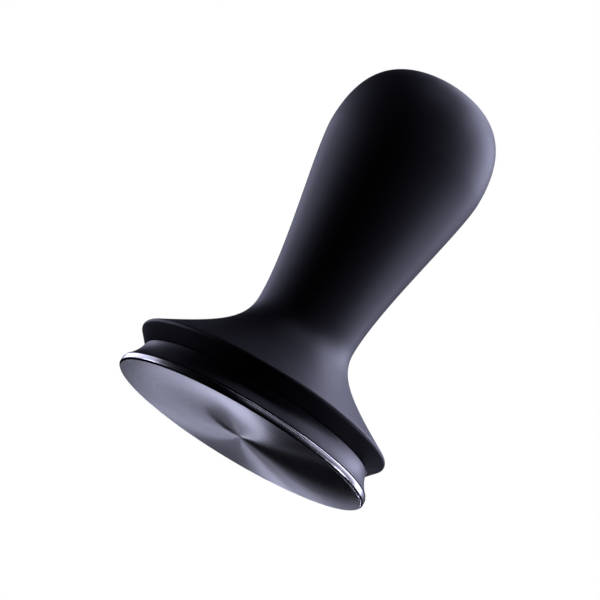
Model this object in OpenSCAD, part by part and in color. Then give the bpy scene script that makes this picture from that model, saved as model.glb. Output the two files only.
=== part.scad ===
// Espresso tamper: a pear-shaped soft-touch handle that screws down onto a steel foot.
// +Z runs up the axis towards the bulb. The origin is the centre of the flat tamping face.
// Threads are drawn as plain cylinders at their pitch diameter, with a clearance between them.

/* [Foot] */
// Diameter of the flat tamping face
foot_d = 58; // [48:0.5:70]
// Height of the polished rim that shows below the skirt
rim_t = 1.5; // [1.2:0.1:3]
// Chamfer on the rim's lower edge
rim_chamfer = 0.35; // [0.1:0.05:0.5]
// How far the rim stands out past the spigot that the skirt sits on
rim_w = 5; // [4:0.25:7]
// Wall of the foot's threaded boss, outside the stud's thread
boss_wall = 4; // [3:0.25:5]
// Depth of the stud's tapped hole
tap_depth = 8; // [6:0.25:8.5]

/* [Skirt] */
// Thickness of the gasket between the rim and the skirt
gasket_t = 0.3; // [0.2:0.05:1]
// Height of the skirt, from its lower edge to the groove under the handle
skirt_h = 4.4; // [3.6:0.1:8]
// How far the skirt's lower edge stands in from the face's edge
skirt_step = 0.2; // [0.1:0.05:0.6]
// Depth of the groove between skirt and handle, from the skirt's lower edge
groove_depth = 2.4; // [1.5:0.1:3]
// How far the skirt's side leans out where it leaves the groove, in degrees
skirt_lean = 12; // [0:1:18]
// Thickness of the skirt's web, which the ring nut clamps
web_t = 1.5; // [1.2:0.1:2]

/* [Handle] */
// Height of the whole tamper
height = 87.5; // [70:0.5:110]
// Diameter of the handle at its narrowest
neck_d = 23; // [19:0.5:30]
// Height of the narrowest point above the tamping face
neck_z = 27.4; // [24:0.2:34]
// Diameter of the bulb at its widest
bulb_d = 36.2; // [30:0.2:44]
// Distance from the top of the bulb down to its widest point
bulb_drop = 18; // [14:0.2:22]
// Slope of the flared flange at its edge, in degrees from level
flare_slope = 31.5; // [25:0.5:40]
// How far the flange's edge stands in from the face's edge
flange_step = 0.1; // [0.1:0.05:0.6]
// Height of the flange's edge above the groove
flange_rise = 3.1; // [2.5:0.1:5]
// Radius of the flange's rounded edge
flange_edge_r = 0.7; // [0.5:0.05:1.5]
// Thickness of the soft grip over the core
grip_t = 2.2; // [1.5:0.1:3]
// Thickness of the grip at the flange's edge
grip_edge_t = 2.6; // [2.2:0.1:3.2]
// Width of the grip's lower lip, at the groove
grip_lip_t = 1.3; // [1:0.1:1.6]

/* [Screw joint] */
// Thread diameter of the stud
thread_d = 8; // [6:0.5:10]
// Pitch of the stud's thread
thread_pitch = 1.25; // [1:0.05:1.5]
// Length of the stud
stud_l = 25; // [24:0.5:28]
// Length of the threaded bush
bush_l = 12; // [10:0.5:14]
// Wall of the threaded bush
bush_wall = 2; // [1.5:0.1:2.6]
// Height of the ring nut that clamps the skirt
ring_nut_h = 3; // [2:0.25:4]
// Radial width of the ring nut
ring_nut_w = 4; // [3:0.25:5]
// Height of the jam nut on the stud
jam_nut_h = 4; // [3:0.25:5]

/* [Hidden] */
$fn = 96;

// Clearances
fit_clear = 0.05;      // a register or a spigot in its hole
thread_clear = 0.04;   // between the two sides of a thread
running_gap = 0.05;    // between faces that turn on each other
seat_gap = 0.15;       // between skirt and handle, where the thrust washer carries the load
room = 1;              // around nuts and screw ends inside the handle

// Heights, from the tamping face up
skirt_z = rim_t + gasket_t;
skirt_top_z = skirt_z + skirt_h;
web_z = skirt_top_z - web_t;
seat_z = skirt_top_z + seat_gap;

// Foot and its boss
foot_r = foot_d / 2;
spigot_r = foot_r - rim_w;
rim_top_break = 0.12;
thread_r = thread_d / 2;
pitch_r = thread_r - 0.325 * thread_pitch;
boss_r = thread_r + boss_wall;
boss_thread_drop = 0.3;
boss_pitch_r = boss_r - boss_thread_drop;
boss_above_nut = 0.5;
wave_washer_t = 0.8;
ring_nut_z = skirt_top_z + wave_washer_t;
ring_nut_r = boss_r + ring_nut_w;
boss_top_z = ring_nut_z + ring_nut_h + boss_above_nut;
tap_z = boss_top_z - tap_depth;
stud_end_room = 0.4;
stud_z = tap_z + stud_end_room;
stud_top_z = stud_z + stud_l;

// Skirt
skirt_r = foot_r - skirt_step;
groove_r = skirt_r - groove_depth;
gasket_inset = 0.6;

// Nut on the stud
jam_nut_af = 1.625 * thread_d;
jam_nut_r = jam_nut_af / 2 / cos(30);
jam_nut_top_z = boss_top_z + jam_nut_h;

// Hollows under the handle
nut_room_r = ring_nut_r + room;
nut_room_top_z = boss_top_z + room / 2;
jam_room_r = jam_nut_r + room;
jam_room_top_z = jam_nut_top_z + room;

// Threaded bush, pushed up into the core until its collar seats
bush_z = jam_room_top_z;
bush_r = thread_r + bush_wall;
bush_collar_w = 1;
bush_collar_h = 1;
relief_r = thread_r + 0.2;
relief_top_z = max(bush_z + bush_l, stud_top_z) + room;

// Pins that stop the skirt turning on the foot
pin_r = 1.25;
pin_l = 3.2;
pin_land = 0.75;
pin_ring_r = nut_room_r + pin_land + pin_r;
pin_count = 2;
pin_sink = 0.2;
pin_top_z = skirt_top_z - pin_sink;

// Seal between skirt and handle
seal_section_r = 0.5;
seal_inset = 2;
seal_ring_r = groove_r - seal_inset;
seal_groove_w = 1.2;
seal_groove_z = seat_z - running_gap - 2 * seal_section_r;

// Thrust washer, snapped into the underside of the core
washer_land = 0.25;
snap_wall = 1.3;
washer_ri = pin_ring_r + pin_r + washer_land;
washer_ro = seal_ring_r - seal_groove_w / 2 - snap_wall;
washer_z = skirt_top_z + running_gap;
washer_t = 1.1;
rib_w = 0.4;
rib_t = 0.3;
rib_z = washer_z + (washer_t - rib_t) / 2;
washer_room = 0.1;

// Outline of the handle: bottom lip, rounded flange edge, then three curves to the top
flange_r = foot_r - flange_step;
edge_z = seat_z + flange_rise;
edge_r = flange_r - flange_edge_r;
neck_r = neck_d / 2;
bulb_r = bulb_d / 2;
bulb_z = height - bulb_drop;
flare_start = [edge_r + flange_edge_r * sin(flare_slope), edge_z + flange_edge_r * cos(flare_slope)];
flare_drop = flare_start.x - neck_r;
flare_climb = neck_z - flare_start.y;
body_span = bulb_z - neck_z;
// How far each curve leans on the tangents at its two ends, as shares of its own span
flare_lean = [0.87, 0.34];
body_lean = [0.28, 0.17];
crown_lean = [0.82, 0.59];

// Point and unit tangent on a curve with four control points, at t from 0 to 1
function curve_point(c, t) =
    pow(1 - t, 3) * c[0] + 3 * t * pow(1 - t, 2) * c[1] + 3 * t * t * (1 - t) * c[2] + pow(t, 3) * c[3];
function curve_slope(c, t) =
    pow(1 - t, 2) * (c[1] - c[0]) + 2 * t * (1 - t) * (c[2] - c[1]) + t * t * (c[3] - c[2]);
function unit(v) = v / norm(v);
// The same point moved in by d, square to the curve
function inset_point(c, t, d) =
    let (u = unit(curve_slope(c, t))) curve_point(c, t) + d * [-u.y, u.x];

flare_curve = [flare_start,
               flare_start + flare_lean[0] * flare_drop * [-cos(flare_slope), sin(flare_slope)],
               [neck_r, neck_z - flare_lean[1] * flare_climb],
               [neck_r, neck_z]];
body_curve = [[neck_r, neck_z],
              [neck_r, neck_z + body_lean[0] * body_span],
              [bulb_r, bulb_z - body_lean[1] * body_span],
              [bulb_r, bulb_z]];
crown_curve = [[bulb_r, bulb_z],
               [bulb_r, bulb_z + crown_lean[0] * bulb_drop],
               [crown_lean[1] * bulb_r, height],
               [0, height]];
curve_steps = [[flare_curve, 12], [body_curve, 16], [crown_curve, 14]];

// The handle's curves, moved in by d; the last point lies on the axis
function handle_curves(d) = concat(
    [inset_point(flare_curve, 0, d)],
    [for (s = curve_steps, i = [1:s[1]]) inset_point(s[0], i / s[1], d)]);

// Straight underside of the flange, from the lip to the point where it meets the rounded edge
lip_to_edge = [edge_r - groove_r, edge_z - seat_z];
edge_turn = asin(flange_edge_r / norm(lip_to_edge));
undercut_angle = atan2(lip_to_edge.y, lip_to_edge.x) - edge_turn;
edge_steps = 8;
edge_from = undercut_angle - 90;
edge_to = 90 - flare_slope;
function flange_edge() = [for (i = [0:edge_steps - 1])
    let (a = edge_from + (edge_to - edge_from) * i / edge_steps)
    [edge_r + flange_edge_r * cos(a), edge_z + flange_edge_r * sin(a)]];

// Outline of the core: its own flange, then the handle's curves moved in by the grip
core_lip_r = groove_r - grip_lip_t;
core_flange_r = flange_r - grip_edge_t;
core_edge_z = seat_z + (core_flange_r - core_lip_r) * tan(undercut_angle);
function core_curves() = [for (p = handle_curves(grip_t)) if (p.x < core_flange_r) p];
function core_outline() = concat([[core_lip_r, seat_z], [core_flange_r, core_edge_z]], core_curves());
function grip_outline() = concat([[groove_r, seat_z]], flange_edge(), handle_curves(0));
function reversed(v) = [for (i = [len(v) - 1:-1:0]) v[i]];

// Concave side of the skirt: an arc that leans out a little at the groove and sweeps to the lower edge
skirt_chord_angle = atan2(groove_depth, skirt_h);
skirt_sweep_r = norm([groove_depth, skirt_h]) / 2 / sin(skirt_chord_angle - skirt_lean);
skirt_foot_angle = 2 * skirt_chord_angle - skirt_lean;
skirt_steps = 14;
function skirt_side() = [for (i = [0:skirt_steps])
    let (a = skirt_foot_angle + (skirt_lean - skirt_foot_angle) * i / skirt_steps)
    [groove_r + skirt_sweep_r * (cos(skirt_lean) - cos(a)),
     skirt_top_z - skirt_sweep_r * (sin(a) - sin(skirt_lean))]];

module tube(ro, ri, h, z) {
    translate([0, 0, z]) difference() {
        cylinder(r = ro, h = h);
        translate([0, 0, -1]) cylinder(r = ri, h = h + 2);
    }
}

module bore(r, from, to) {
    translate([0, 0, from]) cylinder(r = r, h = to - from);
}

// Steel foot: flat disc with a polished rim, a spigot for the skirt and a tapped, threaded boss
module foot() {
    color([0.75, 0.76, 0.80]) difference() {
        rotate_extrude() polygon([
            [0, 0], [foot_r - rim_chamfer, 0], [foot_r, rim_chamfer],
            [foot_r, rim_t - rim_top_break], [foot_r - rim_top_break, rim_t], [spigot_r, rim_t],
            [spigot_r, web_z], [boss_r, web_z], [boss_r, skirt_top_z],
            [boss_pitch_r, skirt_top_z], [boss_pitch_r, boss_top_z], [0, boss_top_z]]);
        bore(pitch_r + thread_clear, tap_z, boss_top_z + 1);
        pin_places() bore(pin_r + fit_clear, pin_top_z - pin_l - pin_sink, web_z + 1);
    }
}

// Flat rubber gasket under the skirt
module foot_gasket() {
    color([0.08, 0.08, 0.09]) tube(foot_r - gasket_inset, spigot_r + fit_clear, gasket_t, rim_t);
}

// Black skirt: a flared collar with a web across it
module skirt() {
    color([0.13, 0.13, 0.15]) difference() {
        rotate_extrude() polygon(concat(
            [[spigot_r + fit_clear, skirt_z]], skirt_side(),
            [[boss_r + fit_clear, skirt_top_z], [boss_r + fit_clear, web_z],
             [spigot_r + fit_clear, web_z]]));
        tube(seal_ring_r + seal_groove_w / 2, seal_ring_r - seal_groove_w / 2, skirt_h, seal_groove_z);
        pin_places() bore(pin_r + fit_clear, web_z - 1, skirt_top_z + 1);
    }
}

module pin_places() {
    for (i = [0:pin_count - 1]) rotate(i * 360 / pin_count) translate([pin_ring_r, 0, 0]) children();
}

// Dowel pins through the skirt's web into the foot
module locating_pins() {
    pin_break = 0.2;
    color([0.62, 0.63, 0.66]) pin_places() translate([0, 0, pin_top_z - pin_l])
        rotate_extrude($fn = 48) polygon([
            [0, 0], [pin_r - pin_break, 0], [pin_r, pin_break], [pin_r, pin_l - pin_break],
            [pin_r - pin_break, pin_l], [0, pin_l]]);
}

// Spring washer between the skirt's web and the ring nut
module wave_washer() {
    washer_inset = 0.3;
    color([0.55, 0.56, 0.60])
        tube(ring_nut_r - washer_inset, boss_r + fit_clear, wave_washer_t, skirt_top_z);
}

// Round nut with spanner slots, which clamps the skirt down on the foot
module ring_nut() {
    slots = 4;
    slot_w = 3;
    slot_depth = 1.6;
    edge_break = 0.4;
    inner_r = boss_pitch_r + thread_clear;
    color([0.70, 0.71, 0.74]) translate([0, 0, ring_nut_z]) difference() {
        rotate_extrude() polygon([
            [inner_r, 0], [ring_nut_r, 0], [ring_nut_r, ring_nut_h - edge_break],
            [ring_nut_r - edge_break, ring_nut_h], [inner_r, ring_nut_h]]);
        for (i = [0:slots - 1]) rotate(i * 360 / slots)
            translate([ring_nut_r - slot_depth, -slot_w / 2, -1])
                cube([slot_depth + 1, slot_w, ring_nut_h + 2]);
    }
}

// Headless stud with a hexagon socket in its upper end
module stud() {
    end_break = 0.7;
    socket_af = thread_d / 2;
    socket_depth = thread_d / 2;
    color([0.66, 0.67, 0.71]) translate([0, 0, stud_z]) difference() {
        rotate_extrude() polygon([
            [0, 0], [pitch_r - end_break, 0], [pitch_r, end_break], [pitch_r, stud_l - end_break],
            [pitch_r - end_break, stud_l], [0, stud_l]]);
        translate([0, 0, stud_l - socket_depth])
            cylinder(r = socket_af / 2 / cos(30), h = socket_depth + 1, $fn = 6);
    }
}

// Thin hexagon nut that locks the stud in the boss
module jam_nut() {
    corner_break = 0.5;
    color([0.70, 0.71, 0.74]) translate([0, 0, boss_top_z]) difference() {
        intersection() {
            cylinder(r = jam_nut_r, h = jam_nut_h, $fn = 6);
            rotate_extrude() polygon([
                [0, 0], [jam_nut_r - corner_break * 2, 0], [jam_nut_r, corner_break],
                [jam_nut_r, jam_nut_h - corner_break], [jam_nut_r - corner_break * 2, jam_nut_h],
                [0, jam_nut_h]]);
        }
        translate([0, 0, -1]) cylinder(r = pitch_r + thread_clear, h = jam_nut_h + 2);
    }
}

// Rubber ring in the skirt's top face, which keeps coffee out of the screw joint
module joint_seal() {
    color([0.06, 0.06, 0.07]) translate([0, 0, seal_groove_z + seal_section_r])
        rotate_extrude() translate([seal_ring_r, 0]) circle(r = seal_section_r, $fn = 32);
}

// Slippery washer that the handle turns down on; a rib snaps it into the core
module thrust_washer() {
    color([0.88, 0.87, 0.82]) rotate_extrude() polygon([
        [washer_ri, washer_z], [washer_ro, washer_z], [washer_ro, rib_z],
        [washer_ro + rib_w, rib_z], [washer_ro + rib_w, rib_z + rib_t], [washer_ro, rib_z + rib_t],
        [washer_ro, washer_z + washer_t], [washer_ri, washer_z + washer_t]]);
}

// Brass bush with the handle's thread
module threaded_bush() {
    color([0.78, 0.62, 0.32]) difference() {
        union() {
            bore(bush_r, bush_z, bush_z + bush_l);
            bore(bush_r + bush_collar_w, bush_z, bush_z + bush_collar_h);
        }
        bore(pitch_r + thread_clear, bush_z - 1, bush_z + bush_l + 1);
    }
}

// Aluminium core: the weight and the seat of the handle
module handle_core() {
    color([0.70, 0.71, 0.73]) difference() {
        rotate_extrude() polygon(concat([[0, seat_z]], core_outline()));
        bore(nut_room_r, seat_z - 1, nut_room_top_z);
        bore(jam_room_r, seat_z - 1, jam_room_top_z);
        bore(bush_r + bush_collar_w + fit_clear, seat_z - 1, bush_z + bush_collar_h);
        bore(bush_r + fit_clear, seat_z - 1, bush_z + bush_l);
        bore(relief_r, seat_z - 1, relief_top_z);
        rotate_extrude() polygon([
            [washer_ri - washer_room, seat_z - 1], [washer_ro + washer_room, seat_z - 1],
            [washer_ro + washer_room, rib_z - washer_room],
            [washer_ro + rib_w + washer_room, rib_z - washer_room],
            [washer_ro + rib_w + washer_room, rib_z + rib_t + washer_room],
            [washer_ro + washer_room, rib_z + rib_t + washer_room],
            [washer_ro + washer_room, washer_z + washer_t + running_gap],
            [washer_ri - washer_room, washer_z + washer_t + running_gap]]);
    }
}

// Soft black grip moulded over the core, from the groove to the crown
module grip() {
    color([0.10, 0.10, 0.12]) rotate_extrude()
        polygon(concat(grip_outline(), reversed(core_outline())));
}

foot();
foot_gasket();
skirt();
locating_pins();
wave_washer();
ring_nut();
stud();
jam_nut();
joint_seal();
thrust_washer();
threaded_bush();
handle_core();
grip();
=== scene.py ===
import math

import bmesh
import bpy
from mathutils import Matrix, Vector


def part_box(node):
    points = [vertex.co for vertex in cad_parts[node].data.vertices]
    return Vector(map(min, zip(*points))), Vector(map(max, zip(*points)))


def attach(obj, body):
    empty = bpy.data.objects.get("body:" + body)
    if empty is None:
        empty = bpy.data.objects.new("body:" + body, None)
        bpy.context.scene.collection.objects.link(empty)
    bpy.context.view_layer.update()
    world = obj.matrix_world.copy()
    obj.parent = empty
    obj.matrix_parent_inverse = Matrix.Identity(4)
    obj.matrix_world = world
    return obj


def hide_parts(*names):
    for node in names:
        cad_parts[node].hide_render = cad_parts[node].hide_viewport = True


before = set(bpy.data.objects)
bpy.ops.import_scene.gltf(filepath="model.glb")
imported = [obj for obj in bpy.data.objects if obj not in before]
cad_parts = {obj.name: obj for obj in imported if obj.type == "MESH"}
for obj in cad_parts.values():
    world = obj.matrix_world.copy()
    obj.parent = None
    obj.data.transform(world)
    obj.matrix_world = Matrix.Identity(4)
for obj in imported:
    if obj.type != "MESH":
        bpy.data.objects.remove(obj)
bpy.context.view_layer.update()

bl_info = {
    "name": "Espresso Tamper",
    "version": (1, 0, 0),
    "blender": (4, 5, 0),
    "location": "View3D > Sidebar > Tamper",
    "description": "Builds the visible pieces and the finishes of an espresso tamper round its packed frame",
    "category": "Object",
}

MM = 0.001

FOOT_LOW, FOOT_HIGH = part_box("foot")
GASKET_LOW, GASKET_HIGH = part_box("foot_gasket")
SKIRT_LOW, SKIRT_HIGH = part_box("skirt")
PINS_LOW, PINS_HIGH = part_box("locating_pins")
SPRING_LOW, SPRING_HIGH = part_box("wave_washer")
RING_LOW, RING_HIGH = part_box("ring_nut")
STUD_LOW, STUD_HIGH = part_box("stud")
JAM_LOW, JAM_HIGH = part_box("jam_nut")
SEAL_LOW, SEAL_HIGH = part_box("joint_seal")
WASHER_LOW, WASHER_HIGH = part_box("thrust_washer")
BUSH_LOW, BUSH_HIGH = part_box("threaded_bush")
CORE_LOW, CORE_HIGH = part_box("handle_core")
GRIP_LOW, GRIP_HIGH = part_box("grip")

# Clearances shared by several pieces: at bores, between threads and over the thrust washer
FIT = 0.05 * MM
THREAD_FIT = 0.04 * MM
RUN_GAP = 0.05 * MM

# How far off a height a vertex may lie and still be on it
LEVEL = 1e-6

# Sizes that two pieces share and no box gives
BOSS_R = 8 * MM
BOSS_THREAD_R = 7.7 * MM
BOSS_THREAD_DEPTH = 0.4 * MM
STUD_THREAD_DEPTH = 0.55 * MM
WASHER_BORE_R = 16.5 * MM
WASHER_RIB_OUT = 0.4 * MM
WASHER_RIB_HALF = 0.15 * MM

# Steps round a turned piece, along the skirt's side and along the handle's three curves
RINGS = 192
SIDE_STEPS = 24
FLARE_STEPS, BODY_STEPS, CROWN_STEPS = 30, 44, 36

# How far each of the handle's curves leans on the tangents at its two ends, as shares of its own span
FLARE_LEAN = (0.87, 0.34)
BODY_LEAN = (0.28, 0.17)
CROWN_LEAN = (0.82, 0.59)


def length(name, description, default, **more):
    return bpy.props.FloatProperty(name=name, description=description, default=default, unit="LENGTH",
                                   precision=5, **more)


def share(name, description, default, **more):
    return bpy.props.FloatProperty(name=name, description=description, default=default,
                                   min=0.0, max=1.0, subtype="FACTOR", **more)


def colour(name, description, default):
    return bpy.props.FloatVectorProperty(name=name, description=description, default=default, size=3,
                                         min=0.0, max=1.0, subtype="COLOR")


class TamperFoot(bpy.types.PropertyGroup):
    """Sizes and finish of the steel foot"""
    rim_height: length("Rim height", "Height of the polished rim below the skirt", 1.5 * MM)
    rim_chamfer: length("Rim chamfer", "Chamfer on the rim's lower edge", 0.35 * MM)
    rim_width: length("Rim width", "How far the rim stands out past the spigot", 5 * MM)
    steel: colour("Steel", "Colour of the bare steel", (0.72, 0.72, 0.69))
    face_roughness: share("Face roughness", "Roughness of the turned face", 0.32)
    face_brushing: share("Face brushing", "How strongly the turned face streaks its reflections", 0.97)
    rim_roughness: share("Rim roughness", "Roughness of the polished rim", 0.22)


class TamperSkirt(bpy.types.PropertyGroup):
    """Sizes and finish of the black skirt"""
    groove_depth: length("Groove depth", "Depth of the groove under the handle", 2.4 * MM)
    lean: bpy.props.FloatProperty(name="Lean", description="Lean of the side where it leaves the groove",
                                  default=math.radians(12), subtype="ANGLE")
    web: length("Web", "Thickness of the web that the ring nut clamps", 1.5 * MM)
    black: colour("Black", "Colour of the anodised skirt", (0.012, 0.012, 0.016))
    roughness: share("Roughness", "Roughness of the anodised skirt", 0.42)


class TamperHandle(bpy.types.PropertyGroup):
    """Sizes and finish of the handle"""
    neck_diameter: length("Neck diameter", "Diameter at the narrowest", 23 * MM)
    neck_height: length("Neck height", "Height of the narrowest point", 27.4 * MM)
    bulb_diameter: length("Bulb diameter", "Diameter of the bulb at its widest", 36.2 * MM)
    bulb_drop: length("Bulb drop", "From the top down to the widest point", 18 * MM)
    flare_slope: bpy.props.FloatProperty(name="Flare slope", description="Slope of the flange at its edge",
                                         default=math.radians(31.5), subtype="ANGLE")
    flange_step: length("Flange step", "How far the flange stands in from the face's edge", 0.1 * MM)
    flange_rise: length("Flange rise", "Height of the flange's edge above the groove", 3.1 * MM)
    edge_radius: length("Edge radius", "Radius of the flange's rounded edge", 0.7 * MM)
    grip_thickness: length("Grip thickness", "Thickness of the grip over the core", 2.2 * MM)
    black: colour("Black", "Colour of the soft grip", (0.0075, 0.0075, 0.010))
    roughness: share("Roughness", "Roughness of the soft grip", 0.52)


class TamperScrew(bpy.types.PropertyGroup):
    """Sizes of the screw joint"""
    stud_pitch: length("Stud pitch", "Pitch of the stud's thread", 1.25 * MM)
    boss_pitch: length("Boss pitch", "Pitch of the boss's thread", 1.0 * MM)
    slots: bpy.props.IntProperty(name="Slots", description="Spanner slots in the ring nut", default=4,
                                 min=2, max=8)
    brass: colour("Brass", "Colour of the threaded bush", (0.66, 0.47, 0.19))
    zinc: colour("Zinc", "Colour of the plated nuts and the stud", (0.56, 0.57, 0.60))


class TamperStage(bpy.types.PropertyGroup):
    """Studio round the tamper"""
    floor_drop: length("Floor drop", "How far the floor lies below the tamper", 0.8)
    floor_shade: colour("Floor", "Colour of the floor", (0.93, 0.93, 0.94))
    brightness: bpy.props.FloatProperty(name="Brightness", description="Strength of all the lights",
                                        default=1.13, min=0.0)
    right_light: bpy.props.FloatProperty(name="Right lights", description="Strength of the right-hand lights",
                                         default=1.0, min=0.0)
    left_light: bpy.props.FloatProperty(name="Left lights", description="Strength of the left-hand lights",
                                        default=1.0, min=0.0)
    low_light: bpy.props.FloatProperty(name="Low lights", description="Strength of the lights under the foot",
                                       default=1.2, min=0.0)
    light_tint: colour("Light tint", "Colour of the lights", (0.70, 0.71, 1.0))


class TamperSettings(bpy.types.PropertyGroup):
    """Everything a user can change"""
    foot: bpy.props.PointerProperty(type=TamperFoot, name="Foot", description="Steel foot")
    skirt: bpy.props.PointerProperty(type=TamperSkirt, name="Skirt", description="Black skirt")
    handle: bpy.props.PointerProperty(type=TamperHandle, name="Handle", description="Handle")
    screw: bpy.props.PointerProperty(type=TamperScrew, name="Screw", description="Screw joint")
    stage: bpy.props.PointerProperty(type=TamperStage, name="Stage", description="Studio")


# ---------------------------------------------------------------- shader maths

class Wire:
    """A node's output socket. Arithmetic on it adds Math nodes."""

    def __init__(self, look, socket):
        self.look, self.socket = look, socket

    def maths(self, operation, *values):
        return self.look.out("ShaderNodeMath", {"operation": operation}, dict(enumerate(values)))

    def __add__(self, other):
        return self.maths("ADD", self, other)

    def __radd__(self, other):
        return self.maths("ADD", other, self)

    def __mul__(self, other):
        return self.maths("MULTIPLY", self, other)

    def __rmul__(self, other):
        return self.maths("MULTIPLY", other, self)

    def ramp(self, low, high):
        """0 below low, 1 above high, smooth in between"""
        return self.look.out("ShaderNodeMapRange", {"interpolation_type": "SMOOTHSTEP"},
                             {"Value": self, "From Min": low, "From Max": high})


class Look:
    """A new material or world whose nodes are added one call at a time"""

    def __init__(self, name, kind=bpy.data.materials):
        self.owner = kind.new(name)
        self.owner.use_nodes = True
        self.tree = self.owner.node_tree
        self.tree.nodes.clear()

    def node(self, kind, settings=None, inputs=None):
        made = self.tree.nodes.new(kind)
        for key, value in (settings or {}).items():
            setattr(made, key, value)
        for key, value in (inputs or {}).items():
            if isinstance(value, Wire):
                self.tree.links.new(value.socket, made.inputs[key])
            elif made.inputs[key].type == "RGBA" and len(value) == 3:
                made.inputs[key].default_value = (*value, 1.0)
            else:
                made.inputs[key].default_value = value
        return made

    def out(self, kind, settings=None, inputs=None, output=0):
        return Wire(self, self.node(kind, settings, inputs).outputs[output])

    def place(self):
        """Object coordinates"""
        return self.out("ShaderNodeTexCoord", output="Object")

    def height(self, vector):
        return self.out("ShaderNodeSeparateXYZ", None, {"Vector": vector}, output="Z")

    def join(self, x, y, z):
        return self.out("ShaderNodeCombineXYZ", None, {"X": x, "Y": y, "Z": z})

    def noise(self, vector, scale, detail, roughness=0.5):
        return self.out("ShaderNodeTexNoise", None, {"Vector": vector, "Scale": scale, "Detail": detail,
                                                     "Roughness": roughness})

    def blend(self, factor, a, b):
        return self.out("ShaderNodeMix", {"data_type": "RGBA"}, {0: factor, 6: a, 7: b}, output=2)

    def radius(self, vector):
        flat = self.out("ShaderNodeVectorMath", {"operation": "MULTIPLY"}, {0: vector, 1: (1, 1, 0)})
        return self.out("ShaderNodeVectorMath", {"operation": "LENGTH"}, {0: flat}, output="Value")

    def bump(self, height, strength, distance):
        return self.out("ShaderNodeBump", None,
                        {"Height": height, "Strength": strength, "Distance": distance})

    def surface(self, **inputs):
        """Closes the material with one shader; keyword names are its sockets with _ for each space"""
        sockets = {name.replace("_", " "): value for name, value in inputs.items()}
        shader = self.out("ShaderNodeBsdfPrincipled", None, sockets)
        self.node("ShaderNodeOutputMaterial", None, {"Surface": shader})
        return self.owner


def scaled(tint, by):
    """A colour made lighter or darker"""
    return [channel * by for channel in tint]


# ---------------------------------------------------------------- finishes

def soft_black(settings):
    """Matt soft-touch black: fine grain, faint clouding in its shade and roughness"""
    look = Look("soft_touch_black")
    at = look.place()
    grain = look.noise(at, scale=7000, detail=3, roughness=0.6)
    cloud = look.noise(at, scale=55, detail=3)
    return look.surface(
        Base_Color=look.blend(cloud, scaled(settings.black, 0.8), scaled(settings.black, 1.3)),
        Roughness=settings.roughness - 0.04 + 0.08 * cloud,
        Specular_IOR_Level=0.5,
        Normal=look.bump(grain, strength=0.25, distance=0.02 * MM))


def skirt_black(settings):
    """Satin black anodising over fine turning marks"""
    look = Look("anodised_black")
    at = look.place()
    rings = look.noise(look.join(look.radius(at), 0.0, look.height(at)), scale=5200, detail=2, roughness=0.7)
    cloud = look.noise(at, scale=90, detail=2)
    return look.surface(
        Base_Color=look.blend(cloud, scaled(settings.black, 0.85), scaled(settings.black, 1.25)),
        Roughness=settings.roughness - 0.03 + 0.06 * cloud,
        Specular_IOR_Level=0.6,
        Normal=look.bump(rings, strength=0.2, distance=0.01 * MM))


def turned_steel(settings):
    """Fine-turned steel face: concentric marks, streaked reflections, faint handling marks"""
    look = Look("turned_steel")
    at = look.place()
    outwards = look.join(look.radius(at), 0.0, 0.0)
    fine = look.noise(outwards, scale=9000, detail=2, roughness=0.7)
    broad = look.noise(outwards, scale=900, detail=3, roughness=0.6)
    cloud = look.noise(at, scale=120, detail=4, roughness=0.6)
    return look.surface(
        Base_Color=look.blend(broad.ramp(0.35, 0.7), scaled(settings.steel, 0.86), settings.steel),
        Metallic=1.0,
        Roughness=settings.face_roughness - 0.05 + 0.06 * broad + 0.04 * cloud,
        Anisotropic=settings.face_brushing,
        Normal=look.bump(fine + 0.6 * broad, strength=0.35, distance=0.004 * MM))


def polished_steel(settings):
    """Polished rim with hair-fine scratches round it"""
    look = Look("polished_steel")
    at = look.place()
    lines = look.noise(look.join(0.0, 0.0, look.height(at)), scale=14000, detail=2, roughness=0.6)
    cloud = look.noise(at, scale=200, detail=3)
    return look.surface(
        Base_Color=look.blend(cloud, scaled(settings.steel, 0.92), settings.steel),
        Metallic=1.0,
        Roughness=settings.rim_roughness + 0.05 * cloud,
        Normal=look.bump(lines, strength=0.12, distance=0.003 * MM))


def machined(name, tint, roughness, mark_size):
    """Bright machined metal with turning marks of a given size, in metres"""
    look = Look(name)
    at = look.place()
    lines = look.noise(look.join(look.radius(at), 0.0, look.height(at)), scale=1 / mark_size, detail=2,
                       roughness=0.7)
    cloud = look.noise(at, scale=150, detail=3)
    return look.surface(
        Base_Color=look.blend(cloud, scaled(tint, 0.8), tint),
        Metallic=1.0,
        Roughness=roughness - 0.05 + 0.1 * cloud,
        Normal=look.bump(lines, strength=0.3, distance=0.006 * MM))


def rubber(name, tint, roughness):
    """Dull rubber with a fine moulded texture"""
    look = Look(name)
    grain = look.noise(look.place(), scale=4000, detail=3, roughness=0.6)
    return look.surface(
        Base_Color=look.blend(grain, scaled(tint, 0.7), scaled(tint, 1.3)),
        Roughness=roughness - 0.06 + 0.12 * grain,
        Specular_IOR_Level=0.3,
        Normal=look.bump(grain, strength=0.3, distance=0.01 * MM))


def nylon(name, tint):
    """Waxy cast nylon, faintly mottled"""
    look = Look(name)
    mottle = look.noise(look.place(), scale=500, detail=3, roughness=0.6)
    return look.surface(
        Base_Color=look.blend(mottle, scaled(tint, 0.9), tint),
        Roughness=0.38 + 0.12 * mottle,
        Subsurface_Weight=0.15,
        Subsurface_Radius=(0.001, 0.001, 0.0008),
        Normal=look.bump(mottle, strength=0.15, distance=0.01 * MM))


# ---------------------------------------------------------------- shapes

def curve_point(curve, t):
    """Point at t on the curve with four control points"""
    a, b, c, d = (Vector(p) for p in curve)
    return (1 - t) ** 3 * a + 3 * t * (1 - t) ** 2 * b + 3 * t * t * (1 - t) * c + t ** 3 * d


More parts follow.
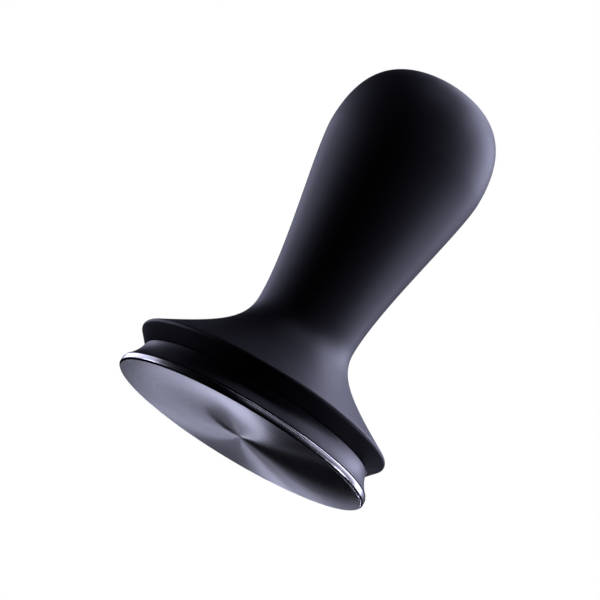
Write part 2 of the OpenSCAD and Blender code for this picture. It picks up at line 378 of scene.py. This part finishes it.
def curve_inset(curve, t, depth):
    """The same point moved in by depth, square to the curve"""
    a, b, c, d = (Vector(p) for p in curve)
    way = ((1 - t) ** 2 * (b - a) + 2 * t * (1 - t) * (c - b) + t * t * (d - c)).normalized()
    return curve_point(curve, t) + depth * Vector((-way.y, way.x))


def arc(centre, radius, start, end, steps):
    """Points (r, z) on an arc from the start angle to the end angle, in radians"""
    return [(centre[0] + radius * math.cos(start + (end - start) * i / steps),
             centre[1] + radius * math.sin(start + (end - start) * i / steps)) for i in range(steps + 1)]


def polyline(bm, points, closed=False):
    """Vertices and edges along points given as (r, z), in the plane y = 0, but none along the axis"""
    verts = [bm.verts.new((r, 0.0, z)) for r, z in points]
    pairs = list(zip(verts, verts[1:] + (verts[:1] if closed else [])))
    return verts + [bm.edges.new(pair) for pair in pairs if pair[0].co.x > 0 or pair[1].co.x > 0]


def clean(bm, merge=1e-7):
    bmesh.ops.remove_doubles(bm, verts=bm.verts[:], dist=merge)
    bmesh.ops.dissolve_degenerate(bm, dist=merge, edges=bm.edges[:])
    bmesh.ops.recalc_face_normals(bm, faces=bm.faces[:])


def turned(points, closed=False, steps=RINGS):
    """A solid of revolution about the upright axis"""
    bm = bmesh.new()
    bmesh.ops.spin(bm, geom=polyline(bm, points, closed), cent=(0, 0, 0), axis=(0, 0, 1),
                   angle=2 * math.pi, steps=steps, use_merge=True)
    clean(bm)
    return bm


def break_edges(bm, width, angle=math.radians(35)):
    """Rounds the edges sharper than angle"""
    sharp = [e for e in bm.edges if len(e.link_faces) == 2 and e.calc_face_angle(0.0) > angle]
    bmesh.ops.bevel(bm, geom=sharp, offset=width, offset_type="OFFSET", affect="EDGES", segments=2,
                    profile=0.5, material=-1, clamp_overlap=True)
    return bm


def finish(bm, node, body, materials, zones=None, smooth_below=math.radians(32)):
    """Turns the bmesh into the piece that stands for a CAD node"""
    for face in bm.faces:
        face.smooth = True
        if zones:
            face.material_index = zones(face)
    for edge in bm.edges:
        edge.smooth = not (len(edge.link_faces) == 2 and edge.calc_face_angle(0.0) > smooth_below)
    mesh = bpy.data.meshes.new(f"{node}_look")
    bm.to_mesh(mesh)
    bm.free()
    for material in materials:
        mesh.materials.append(material)
    piece = bpy.data.objects.new(f"{node}_look", mesh)
    bpy.context.scene.collection.objects.link(piece)
    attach(piece, body)
    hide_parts(node)
    return piece


def handle_curves(settings):
    """Flare, body and crown of the handle, each a curve with four control points"""
    edge_r = (FOOT_HIGH.x - FOOT_LOW.x) / 2 - settings.flange_step - settings.edge_radius
    edge_z = GRIP_LOW.z + settings.flange_rise
    slope = settings.flare_slope
    neck_r, neck_z = settings.neck_diameter / 2, settings.neck_height
    bulb_r, top = settings.bulb_diameter / 2, GRIP_HIGH.z
    bulb_z = top - settings.bulb_drop
    start = (edge_r + settings.edge_radius * math.sin(slope), edge_z + settings.edge_radius * math.cos(slope))
    drop, climb, span = start[0] - neck_r, neck_z - start[1], bulb_z - neck_z
    flare = [start, (start[0] - FLARE_LEAN[0] * drop * math.cos(slope),
                     start[1] + FLARE_LEAN[0] * drop * math.sin(slope)),
             (neck_r, neck_z - FLARE_LEAN[1] * climb), (neck_r, neck_z)]
    body = [(neck_r, neck_z), (neck_r, neck_z + BODY_LEAN[0] * span),
            (bulb_r, bulb_z - BODY_LEAN[1] * span), (bulb_r, bulb_z)]
    crown = [(bulb_r, bulb_z), (bulb_r, bulb_z + CROWN_LEAN[0] * settings.bulb_drop),
             (CROWN_LEAN[1] * bulb_r, top), (0.0, top)]
    return (edge_r, edge_z), [(flare, FLARE_STEPS), (body, BODY_STEPS), (crown, CROWN_STEPS)]


def grip_shape(settings, groove_r, lip=1.3 * MM, edge_wall=2.6 * MM):
    """Outer and inner outlines of the grip, from its lip up to the axis"""
    (edge_r, edge_z), curves = handle_curves(settings)
    seat = GRIP_LOW.z
    way = Vector((edge_r - groove_r, edge_z - seat))
    undercut = math.atan2(way.y, way.x) - math.asin(settings.edge_radius / way.length)
    outer = [(groove_r, seat)]
    outer += arc((edge_r, edge_z), settings.edge_radius, undercut - math.pi / 2,
                 math.pi / 2 - settings.flare_slope, 10)
    outer += [tuple(curve_point(c, i / n)) for c, n in curves for i in range(1, n + 1)]
    flange_wall_r = edge_r + settings.edge_radius - edge_wall
    inner = [(groove_r - lip, seat),
             (flange_wall_r, seat + (flange_wall_r - groove_r + lip) * math.tan(undercut))]
    inset = [tuple(curve_inset(c, i / n, settings.grip_thickness))
             for c, n in curves for i in range(1, n + 1)]
    inner += [p for p in inset[:-1] if p[0] < flange_wall_r] + [(0.0, inset[-1][1])]
    return outer[:-1] + [(0.0, outer[-1][1])], inner


class TAMPER_OT_grip(bpy.types.Operator):
    """Build the soft black grip"""
    bl_idname = "tamper.grip"
    bl_label = "Grip"

    def execute(self, context):
        settings, skirt = context.scene.tamper.handle, context.scene.tamper.skirt
        groove_r = SKIRT_HIGH.x - skirt.groove_depth
        outer, inner = grip_shape(settings, groove_r)
        bm = turned(outer + inner[::-1], closed=True)
        break_edges(bm, width=0.12 * MM, angle=math.radians(40))
        finish(bm, "grip", "handle", [soft_black(settings)])
        return {"FINISHED"}


class TAMPER_OT_skirt(bpy.types.Operator):
    """Build the black skirt"""
    bl_idname = "tamper.skirt"
    bl_label = "Skirt"

    def execute(self, context):
        settings, foot = context.scene.tamper.skirt, context.scene.tamper.foot
        bottom, top, outer_r = SKIRT_LOW.z, SKIRT_HIGH.z, SKIRT_HIGH.x
        height, depth = top - bottom, settings.groove_depth
        groove_r = outer_r - depth
        spigot_r, boss_r, past = FOOT_HIGH.x - foot.rim_width + FIT, BOSS_R + FIT, 1 * MM
        chord = math.atan2(depth, height)
        sweep = math.hypot(depth, height) / 2 / math.sin(chord - settings.lean)
        foot_angle = 2 * chord - settings.lean
        leans = [foot_angle + (settings.lean - foot_angle) * i / SIDE_STEPS for i in range(SIDE_STEPS + 1)]
        side = [(groove_r + sweep * (math.cos(settings.lean) - math.cos(a)),
                 top - sweep * (math.sin(a) - math.sin(settings.lean))) for a in leans]
        seal_section_r, half_groove = 0.5 * MM, 0.6 * MM
        seal_r = SEAL_HIGH.x - seal_section_r
        outline = [(spigot_r, bottom)] + side + [
            (seal_r + half_groove, top), (seal_r + half_groove, SEAL_LOW.z),
            (seal_r - half_groove, SEAL_LOW.z), (seal_r - half_groove, top),
            (boss_r, top), (boss_r, top - settings.web), (spigot_r, top - settings.web)]
        bm = turned(outline, closed=True)
        break_edges(bm, width=0.1 * MM, angle=math.radians(30))
        bm = cut(bm, *pin_bores(top - settings.web - past, top + past))
        finish(bm, "skirt", "base", [skirt_black(settings)])
        return {"FINISHED"}


class TAMPER_OT_foot(bpy.types.Operator):
    """Build the turned steel foot"""
    bl_idname = "tamper.foot"
    bl_label = "Foot"

    def execute(self, context):
        settings, skirt = context.scene.tamper.foot, context.scene.tamper.skirt
        foot_r, rim, chamfer = FOOT_HIGH.x, settings.rim_height, settings.rim_chamfer
        spigot_r, web_z, edge = foot_r - settings.rim_width, SKIRT_HIGH.z - skirt.web, 0.12 * MM
        hole_r, hole_z = STUD_HIGH.x + THREAD_FIT, FOOT_HIGH.z - 8 * MM
        outline = [
            (0.0, 0.0), (foot_r - chamfer, 0.0), (foot_r, chamfer), (foot_r, rim - edge),
            (foot_r - edge, rim), (spigot_r, rim), (spigot_r, web_z), (BOSS_R, web_z), (BOSS_R, SKIRT_HIGH.z),
            (BOSS_THREAD_R, SKIRT_HIGH.z), (BOSS_THREAD_R, FOOT_HIGH.z), (hole_r, FOOT_HIGH.z),
            (hole_r, hole_z), (0.0, hole_z)]
        bm = turned(outline)
        break_edges(bm, width=0.06 * MM, angle=math.radians(30))

        def zones(face):
            """0 on the flat face, 1 elsewhere"""
            return int(face.calc_center_median().z >= LEVEL)

        finish(bm, "foot", "base", [turned_steel(settings), polished_steel(settings)], zones)
        return {"FINISHED"}


def tower(levels, segments):
    """A shell of stacked rings; each level gives the radius and the height at an angle"""
    bm = bmesh.new()
    ring = bmesh.ops.create_circle(bm, cap_ends=False, segments=segments, radius=1.0)["verts"]
    for i, level in enumerate(levels):
        if i:
            last = set(ring)
            grown = bmesh.ops.extrude_edge_only(bm, edges=[e for e in bm.edges if last.issuperset(e.verts)])
            ring = [g for g in grown["geom"] if isinstance(g, bmesh.types.BMVert)]
        for v in ring:
            angle = math.atan2(v.co.y, v.co.x)
            r, z = level(angle)
            v.co = (r * math.cos(angle), r * math.sin(angle), z)
    return bm


def thread(crest, depth, pitch, low, high, steps=60):
    """A right-hand thread between two heights, open at both ends; a negative depth cuts outwards"""
    bm = bmesh.new()
    start, turns = low - pitch, math.ceil((high - low) / pitch) + 2
    root = crest - depth
    shape = [(crest, 0), (crest, 1 / 8), (root, 7 / 16), (root, 11 / 16), (crest, 1)]
    line = polyline(bm, [(r, start + part * pitch) for r, part in shape])
    bmesh.ops.spin(bm, geom=line, cent=(0, 0, 0), axis=(0, 0, 1), dvec=(0, 0, pitch / steps),
                   angle=2 * math.pi * turns, steps=steps * turns)
    bmesh.ops.remove_doubles(bm, verts=bm.verts[:], dist=2 * LEVEL)
    for height, way in ((low, -1), (high, 1)):
        bmesh.ops.bisect_plane(bm, geom=bm.verts[:] + bm.edges[:] + bm.faces[:], dist=LEVEL / 10,
                               plane_co=(0, 0, height), plane_no=(0, 0, way), clear_outer=True)
    bmesh.ops.remove_doubles(bm, verts=bm.verts[:], dist=LEVEL)
    return bm


def joined(*parts):
    """All parts in one bmesh"""
    whole = parts[0]
    for part in parts[1:]:
        mesh = bpy.data.meshes.new("part")
        part.to_mesh(mesh)
        whole.from_mesh(mesh)
        part.free()
        bpy.data.meshes.remove(mesh)
    return whole


def close_ends(bm, *heights):
    """Fills the open loops that lie at each height, holes left open"""
    for height in heights:
        rim = [e for e in bm.edges
               if len(e.link_faces) < 2 and all(abs(v.co.z - height) < 2 * LEVEL for v in e.verts)]
        bmesh.ops.triangle_fill(bm, use_beauty=True, use_dissolve=False, edges=rim, normal=(0, 0, 1))
    bmesh.ops.recalc_face_normals(bm, faces=bm.faces[:])
    return bm


def cut(bm, *tools):
    """bm with the tools' volumes taken away"""
    made = []
    for part in (bm, *tools):
        mesh = bpy.data.meshes.new("part")
        part.to_mesh(mesh)
        part.free()
        made.append(bpy.data.objects.new("part", mesh))
        bpy.context.scene.collection.objects.link(made[-1])
    for tool in made[1:]:
        modifier = made[0].modifiers.new("cut", "BOOLEAN")
        modifier.operation, modifier.solver, modifier.object = "DIFFERENCE", "EXACT", tool
    left = bmesh.new()
    left.from_mesh(made[0].evaluated_get(bpy.context.evaluated_depsgraph_get()).to_mesh())
    for thing in made:
        bpy.data.meshes.remove(thing.data)
    return left


def block(size, centre, angle=0.0):
    """A box of a given size, turned about the upright axis"""
    bm = bmesh.new()
    place = Matrix.Rotation(angle, 4, "Z") @ Matrix.Translation(centre) @ Matrix.Diagonal((*size, 1.0))
    bmesh.ops.create_cube(bm, size=1.0, matrix=place)
    return bm


def prism(sides, radius, low, high):
    """An upright prism with closed ends"""
    bm = bmesh.new()
    bmesh.ops.create_cone(bm, cap_ends=True, segments=sides, radius1=radius, radius2=radius, depth=high - low,
                          matrix=Matrix.Translation((0, 0, (low + high) / 2)))
    return bm


# Steps round a locating pin and its bore
PIN_RINGS = 48


def spread(pair):
    """Two solids on the upright axis, moved out to where the locating pins stand"""
    for solid, side in zip(pair, (1, -1)):
        bmesh.ops.translate(solid, vec=(side * (PINS_HIGH.x - PINS_HIGH.y), 0, 0), verts=solid.verts[:])
    return pair


def pin_bores(low, high):
    """Tools for the two holes that the locating pins stand in"""
    return spread([prism(PIN_RINGS, PINS_HIGH.y + FIT, low, high) for _ in range(2)])


def hexagon(flats, angle):
    """Radius of a hexagon at an angle"""
    return flats / 2 / math.cos(angle % (math.pi / 3) - math.pi / 6)


def build_gasket(foot, black):
    inner_r, outer_r = FOOT_HIGH.x - foot.rim_width + FIT, GASKET_HIGH.x
    gasket = turned([(inner_r, GASKET_LOW.z), (outer_r, GASKET_LOW.z), (outer_r, GASKET_HIGH.z),
                     (inner_r, GASKET_HIGH.z)], closed=True)
    finish(break_edges(gasket, width=0.04 * MM), "foot_gasket", "base", [black])


def build_joint_seal(black, steps=24):
    section_r = (SEAL_HIGH.z - SEAL_LOW.z) / 2
    around = arc((SEAL_HIGH.x - section_r, SEAL_LOW.z + section_r), section_r, 0.0, 2 * math.pi, steps)[:-1]
    finish(turned(around, closed=True), "joint_seal", "base", [black])


def build_thrust_washer(oil_grooves=6):
    low, high, rib_r = WASHER_LOW.z, WASHER_HIGH.z, WASHER_HIGH.x
    outer_r, middle = rib_r - WASHER_RIB_OUT, (low + high) / 2
    rib_low, rib_high = middle - WASHER_RIB_HALF, middle + WASHER_RIB_HALF
    washer = turned([(WASHER_BORE_R, low), (outer_r, low), (outer_r, rib_low), (rib_r, rib_low),
                     (rib_r, rib_high), (outer_r, rib_high), (outer_r, high), (WASHER_BORE_R, high)],
                    closed=True)
    groove, groove_r, first = (8 * MM, 0.7 * MM, 0.4 * MM), 19.5 * MM, math.radians(30)
    grooves = [block(groove, (groove_r, 0, low), 2 * math.pi * i / oil_grooves + first)
               for i in range(oil_grooves)]
    washer = break_edges(cut(washer, *grooves), width=0.06 * MM)
    white = nylon("washer_nylon", (0.83, 0.80, 0.72))
    finish(washer, "thrust_washer", "thrust_ring", [white])


class TAMPER_OT_seals(bpy.types.Operator):
    """Build the gasket under the skirt, the seal ring and the thrust washer"""
    bl_idname = "tamper.seals"
    bl_label = "Gasket, seal and washer"

    def execute(self, context):
        black = rubber("black_rubber", (0.012, 0.012, 0.013), roughness=0.65)
        build_gasket(context.scene.tamper.foot, black)
        build_joint_seal(black)
        build_thrust_washer()
        return {"FINISHED"}


def build_stud(screw, plating):
    """A set screw: threaded all along, chamfered ends, a hexagon socket in its top"""
    stud_r, low, high = STUD_HIGH.x, STUD_LOW.z, STUD_HIGH.z
    chamfer, socket_flats, socket_depth, past = 0.7 * MM, 4 * MM, 4 * MM, 1 * MM
    stud = thread(stud_r, STUD_THREAD_DEPTH, screw.stud_pitch, low, high)
    for v in stud.verts:
        room = stud_r - chamfer + min(v.co.z - low, high - v.co.z)
        r = math.hypot(v.co.x, v.co.y)
        if r > room:
            v.co.x, v.co.y = v.co.x * room / r, v.co.y * room / r
    close_ends(stud, low, high)
    socket_r = socket_flats / 2 / math.cos(math.pi / 6)
    stud = cut(stud, prism(6, socket_r, high - socket_depth, high + past))
    finish(stud, "stud", "base", [plating])


def build_jam_nut(screw, plating, face_share=0.96, chamfer=math.radians(30), edge=0.1 * MM, steps=144):
    """A thin hexagon nut with chamfered corners"""
    flats, low, high = JAM_HIGH.y - JAM_LOW.y, JAM_LOW.z, JAM_HIGH.z
    face_r = flats / 2 * face_share

    def corner_fall(angle):
        return max(0.0, hexagon(flats, angle) - flats / 2) * math.tan(chamfer)

    levels = [lambda a: (face_r, low), lambda a: (hexagon(flats, a), low + edge + corner_fall(a)),
              lambda a: (hexagon(flats, a), high - edge - corner_fall(a)), lambda a: (face_r, high)]
    bore = thread(STUD_HIGH.x + THREAD_FIT, -STUD_THREAD_DEPTH, screw.stud_pitch, low, high)
    nut = close_ends(joined(tower(levels, steps), bore), low, high)
    finish(nut, "jam_nut", "base", [plating])


def build_ring_nut(screw, plating):
    """A round nut with spanner slots"""
    slot, edge = (3.2 * MM, 3 * MM, 8 * MM), 0.4 * MM
    ring_r, low, high = math.hypot(RING_HIGH.x, slot[1] / 2), RING_LOW.z, RING_HIGH.z
    shell = turned([(ring_r - edge / 2, low), (ring_r, low + edge / 2), (ring_r, high - edge),
                    (ring_r - edge, high)])
    bore = thread(BOSS_THREAD_R + THREAD_FIT, -BOSS_THREAD_DEPTH, screw.boss_pitch, low, high, steps=72)
    ring = close_ends(joined(shell, bore), low, high)
    slots = [block(slot, (ring_r, 0, high), 2 * math.pi * i / screw.slots) for i in range(screw.slots)]
    finish(cut(ring, *slots), "ring_nut", "base", [plating])


def build_wave_washer(waves=3, thick=0.3 * MM):
    """A flat ring bent into waves that fill the room between the web and the nut"""
    inner_r, outer_r = BOSS_R + FIT, SPRING_HIGH.x
    wave = (SPRING_HIGH.z - SPRING_LOW.z - thick) / 2
    middle = (SPRING_HIGH.z + SPRING_LOW.z) / 2
    low, high = middle - thick / 2, middle + thick / 2
    spring = turned([(inner_r, low), (outer_r, low), (outer_r, high), (inner_r, high)], closed=True)
    break_edges(spring, width=0.05 * MM)
    for v in spring.verts:
        v.co.z += wave * math.cos(waves * math.atan2(v.co.y, v.co.x))
    steel = machined("spring_steel", (0.42, 0.43, 0.47), roughness=0.28, mark_size=0.2 * MM)
    finish(spring, "wave_washer", "base", [steel])


def build_pins(edge=0.2 * MM):
    """Two dowel pins, one on each side of the boss"""
    pin_r, low, high = PINS_HIGH.y, PINS_LOW.z, PINS_HIGH.z
    outline = [(0, low), (pin_r - edge, low), (pin_r, low + edge), (pin_r, high - edge), (pin_r - edge, high),
               (0, high)]
    pins = [turned(outline, steps=PIN_RINGS) for _ in range(2)]
    steel = machined("ground_pin", (0.55, 0.55, 0.58), roughness=0.22, mark_size=0.1 * MM)
    finish(joined(*spread(pins)), "locating_pins", "base", [steel])


class TAMPER_OT_fasteners(bpy.types.Operator):
    """Build the stud, the nuts, the spring washer and the pins"""
    bl_idname = "tamper.fasteners"
    bl_label = "Fasteners"

    def execute(self, context):
        screw = context.scene.tamper.screw
        plating = machined("bright_plating", screw.zinc, roughness=0.32, mark_size=0.15 * MM)
        build_stud(screw, plating)
        build_jam_nut(screw, plating)
        build_ring_nut(screw, plating)
        build_wave_washer()
        build_pins()
        return {"FINISHED"}


# The bush's collar, how much smaller its knurled part is, and how deep the knurl goes
COLLAR_H = 1 * MM
COLLAR_STEP = 1 * MM
KNURL_DEPTH = 0.22 * MM


def build_bush(screw, teeth=48, steps_per_tooth=6):
    """A knurled brass bush with a collar at its foot and a relief groove over the collar"""
    low, high, collar_r = BUSH_LOW.z, BUSH_HIGH.z, BUSH_HIGH.x
    bush_r, shoulder, edge = collar_r - COLLAR_STEP, low + COLLAR_H, 0.15 * MM
    groove_r, groove_top, knurl_low, knurl_high = bush_r - KNURL_DEPTH, 0.6 * MM, 0.8 * MM, 0.5 * MM
    end_r = groove_r - 0.2 * MM

    def knurled(angle):
        return bush_r - KNURL_DEPTH * (0.5 + 0.5 * math.cos(teeth * angle))

    levels = [lambda a: (collar_r - edge, low), lambda a: (collar_r, low + edge),
              lambda a: (collar_r, shoulder), lambda a: (groove_r, shoulder),
              lambda a: (groove_r, shoulder + groove_top), lambda a: (knurled(a), shoulder + knurl_low),
              lambda a: (knurled(a), high - knurl_high), lambda a: (end_r, high)]
    bore = thread(STUD_HIGH.x + THREAD_FIT, -STUD_THREAD_DEPTH, screw.stud_pitch, low, high)
    bush = close_ends(joined(tower(levels, teeth * steps_per_tooth), bore), low, high)
    brass = machined("bush_brass", screw.brass, roughness=0.26, mark_size=0.15 * MM)
    finish(bush, "threaded_bush", "handle", [brass])


def build_core(outline, room=1 * MM, slack=0.1 * MM, relief_r=4.2 * MM):
    """The core fills the grip's inner outline; its foot has room for the washer, the nuts and the bush"""
    seat, bush_low, bush_high, collar_r = CORE_LOW.z, BUSH_LOW.z, BUSH_HIGH.z, BUSH_HIGH.x
    collar_out, collar_top, bush_out = collar_r + FIT, bush_low + COLLAR_H, collar_r - COLLAR_STEP + FIT
    nut_room, jam_room, nut_top = RING_HIGH.x + room, JAM_HIGH.x + room, FOOT_HIGH.z + room / 2
    washer_in, washer_out = WASHER_BORE_R - slack, WASHER_HIGH.x - WASHER_RIB_OUT + slack
    rib_out, rib_middle = WASHER_HIGH.x + slack, (WASHER_LOW.z + WASHER_HIGH.z) / 2
    rib_low, rib_high = rib_middle - WASHER_RIB_HALF - slack, rib_middle + WASHER_RIB_HALF + slack
    pocket, relief_top = WASHER_HIGH.z + RUN_GAP, max(bush_high, STUD_HIGH.z) + room
    inside = [
        (washer_out, seat), (washer_out, rib_low), (rib_out, rib_low), (rib_out, rib_high),
        (washer_out, rib_high), (washer_out, pocket), (washer_in, pocket), (washer_in, seat),
        (nut_room, seat), (nut_room, nut_top), (jam_room, nut_top), (jam_room, bush_low),
        (collar_out, bush_low), (collar_out, collar_top), (bush_out, collar_top), (bush_out, bush_high),
        (relief_r, bush_high), (relief_r, relief_top), (0.0, relief_top)]
    core = turned(inside[::-1] + outline)
    break_edges(core, width=0.08 * MM, angle=math.radians(40))
    aluminium = machined("core_aluminium", (0.72, 0.73, 0.75), roughness=0.33, mark_size=0.2 * MM)
    finish(core, "handle_core", "handle", [aluminium])


class TAMPER_OT_core(bpy.types.Operator):
    """Build the aluminium core and the threaded bush pressed into it"""
    bl_idname = "tamper.core"
    bl_label = "Core and bush"

    def execute(self, context):
        tamper = context.scene.tamper
        build_bush(tamper.screw)
        _, outline = grip_shape(tamper.handle, SKIRT_HIGH.x - tamper.skirt.groove_depth)
        build_core(outline)
        return {"FINISHED"}


# Width and height of the soft panels, by how high they hang
TOP_SIZE = (0.278, 0.28)
UPPER_SIZE = (0.264, 0.30)
LEVEL_SIZE = (0.214, 0.24)
LOW_SIZE = (0.179, 0.17)

# Soft panels round the tamper: name, azimuth, elevation, size, watts.
# Azimuth is 0 on the viewer's side and 90 to the right.
PANELS = (
    ("right_upper", 128.6, 32, UPPER_SIZE, 1.57),
    ("right_top", 120, 55, TOP_SIZE, 1.28),
    ("right_side", 102.9, 32, UPPER_SIZE, 1.16),
    ("right_front_top", 80, 55, TOP_SIZE, 1.03),
    ("right_back", 126, 10, LEVEL_SIZE, 0.54),
    ("right_low", 90, -8, LOW_SIZE, 0.90),
    ("right_under", 75, -22, (0.167, 0.17), 0.18),
    ("back_top", 160, 55, TOP_SIZE, 0.94),
    ("overhead", 0, 80, (0.30, 0.25), 0.42),
    ("rim_right", 82, 14.4, (0.90, 0.08), 0.26),
    ("rim_front", 18, 14.4, (0.70, 0.08), 0.09),
    ("back_under", 157.5, -36, (0.22, 0.18), 0.06),
    ("back_low", 180, -8, LOW_SIZE, 0.012),
    ("left_back_edge", 216, 10, LEVEL_SIZE, 0.47),
    ("left_back", 234, 10, LEVEL_SIZE, 0.26),
    ("left_side", 252, 10, LEVEL_SIZE, 0.16),
    ("left_low", 255, -8, LOW_SIZE, 0.68),
)
# Small panels under and behind the foot that face upwards: name, place, size, watts
LOW_PANELS = (
    ("under_left", (-0.08, 0.50, -0.12), 0.05, 0.060),
    ("under_middle", (-0.03, 0.30, -0.12), 0.04, 0.034),
    ("under_middle_far", (-0.055, 0.42, -0.12), 0.03, 0.015),
    ("under_right_near", (0.09, 0.30, -0.12), 0.05, 0.020),
    ("under_right", (0.14, 0.30, -0.12), 0.05, 0.090),
    ("under_right_far", (0.14, 0.50, -0.12), 0.05, 0.150),
)
PANEL_DISTANCE = 0.7
PANEL_AIM = Vector((0, 0, 0.04))

# Panels short of the first azimuth follow the right lights' strength, and past the second the left lights'
RIGHT_TO, LEFT_FROM = 150, 190

# The camera looks up at the foot and is rolled, so that the tamper leans to the right
CAMERA_TILT = math.radians(14.422)
CAMERA_ROLL = math.radians(31.158)
CAMERA_ACROSS, CAMERA_UP, CAMERA_BACK = 12.448 * MM, 28.004 * MM, 493.27 * MM
CAMERA_LENS, CAMERA_SENSOR = 144.0, 36.0


def panel_light(name, azimuth, elevation, size, power, settings):
    """A soft panel that faces the tamper"""
    data = bpy.data.lights.new(name, "AREA")
    data.shape, data.size, data.size_y = "RECTANGLE", size[0], size[1]
    data.energy, data.color = power, tuple(settings.light_tint)
    light = bpy.data.objects.new(name, data)
    a, e = math.radians(azimuth), math.radians(elevation)
    way = Vector((math.sin(a) * math.cos(e), -math.cos(a) * math.cos(e), math.sin(e)))
    light.location = PANEL_AIM + way * PANEL_DISTANCE
    light.rotation_euler = way.to_track_quat("Z", "Y").to_euler()
    light.visible_camera = False
    bpy.context.scene.collection.objects.link(light)
    return light


def build_floor(settings, radius=12.0):
    """A round pale floor that gives off a little light of its own"""
    bm = bmesh.new()
    bmesh.ops.create_circle(bm, cap_ends=True, segments=64, radius=radius,
                            matrix=Matrix.Translation((0, 0, -settings.floor_drop)))
    mesh = bpy.data.meshes.new("floor")
    bm.to_mesh(mesh)
    bm.free()
    floor = bpy.data.objects.new("floor", mesh)
    look = Look("floor_paint")
    grain = look.noise(look.place(), scale=3, detail=2)
    mesh.materials.append(look.surface(
        Base_Color=look.blend(grain, settings.floor_shade, scaled(settings.floor_shade, 0.99)),
        Roughness=0.9, Emission_Color=(1, 1, 1), Emission_Strength=0.85))
    bpy.context.scene.collection.objects.link(floor)
    floor.visible_glossy = floor.visible_diffuse = False


def build_lights(settings):
    """The panels round the tamper and the small ones under it"""
    for name, azimuth, elevation, size, power in PANELS:
        strength = settings.brightness
        if azimuth < RIGHT_TO:
            strength *= settings.right_light
        elif azimuth > LEFT_FROM:
            strength *= settings.left_light
        panel_light(name, azimuth, elevation, size, power * strength, settings)
    for name, spot, edge, power in LOW_PANELS:
        strength = settings.brightness * settings.low_light
        panel = panel_light(name, 0, 90, (edge, edge), power * strength, settings)
        panel.location, panel.rotation_euler = spot, (math.pi, 0, 0)


def build_world():
    """White paper behind the tamper as the camera sees it, black as reflections see it"""
    studio = Look("studio", bpy.data.worlds)
    seen = studio.out("ShaderNodeLightPath", output="Is Camera Ray")
    paper = studio.out("ShaderNodeBackground", None, {"Color": (1, 1, 1)})
    dark = studio.out("ShaderNodeBackground", None, {"Color": (0, 0, 0)})
    mix = studio.out("ShaderNodeMixShader", None, {0: seen, 1: dark, 2: paper})
    studio.node("ShaderNodeOutputWorld", None, {"Surface": mix})
    bpy.context.scene.world = studio.owner


def build_camera():
    """A long lens, low in front of the foot"""
    onward = Vector((0, math.cos(CAMERA_TILT), math.sin(CAMERA_TILT)))
    level_right, level_up = Vector((1, 0, 0)), Vector((0, -math.sin(CAMERA_TILT), math.cos(CAMERA_TILT)))
    right = math.cos(CAMERA_ROLL) * level_right + math.sin(CAMERA_ROLL) * level_up
    up = math.cos(CAMERA_ROLL) * level_up - math.sin(CAMERA_ROLL) * level_right
    data = bpy.data.cameras.new("camera")
    data.lens, data.sensor_width = CAMERA_LENS, CAMERA_SENSOR
    data.clip_start, data.clip_end = 0.01, 50.0
    camera = bpy.data.objects.new("camera", data)
    place = CAMERA_ACROSS * right + CAMERA_UP * up - CAMERA_BACK * onward
    camera.matrix_world = Matrix.Translation(place) @ Matrix((right, up, -onward)).transposed().to_4x4()
    bpy.context.scene.collection.objects.link(camera)
    bpy.context.scene.camera = camera


class TAMPER_OT_stage(bpy.types.Operator):
    """Set the floor, the lights and the camera"""
    bl_idname = "tamper.stage"
    bl_label = "Stage"

    def execute(self, context):
        settings = context.scene.tamper.stage
        build_floor(settings)
        build_lights(settings)
        build_world()
        context.scene.view_settings.view_transform = "Standard"
        build_camera()
        return {"FINISHED"}


class TAMPER_PT_panel(bpy.types.Panel):
    """Lists the tamper's builders and sizes"""
    bl_label = "Espresso Tamper"
    bl_idname = "TAMPER_PT_panel"
    bl_space_type = "VIEW_3D"
    bl_region_type = "UI"
    bl_category = "Tamper"

    def draw(self, context):
        for operator in OPERATORS:
            self.layout.operator(operator.bl_idname)
        tamper = context.scene.tamper
        for group in (tamper.foot, tamper.skirt, tamper.handle, tamper.screw, tamper.stage):
            box = self.layout.box()
            for name in type(group).__annotations__:
                box.prop(group, name)


GROUPS = (TamperFoot, TamperSkirt, TamperHandle, TamperScrew, TamperStage, TamperSettings)
OPERATORS = (TAMPER_OT_foot, TAMPER_OT_skirt, TAMPER_OT_seals, TAMPER_OT_fasteners, TAMPER_OT_core,
             TAMPER_OT_grip, TAMPER_OT_stage)


def register():
    for cls in (*GROUPS, *OPERATORS, TAMPER_PT_panel):
        bpy.utils.register_class(cls)
    bpy.types.Scene.tamper = bpy.props.PointerProperty(type=TamperSettings, name="Tamper",
                                                       description="Sizes and finishes of the tamper")


def unregister():
    del bpy.types.Scene.tamper
    for cls in reversed((*GROUPS, *OPERATORS, TAMPER_PT_panel)):
        bpy.utils.unregister_class(cls)


def main():
    register()
    bpy.ops.tamper.foot()
    bpy.ops.tamper.skirt()
    bpy.ops.tamper.seals()
    bpy.ops.tamper.fasteners()
    bpy.ops.tamper.core()
    bpy.ops.tamper.grip()
    bpy.ops.tamper.stage()


if __name__ == "__main__":
    main()
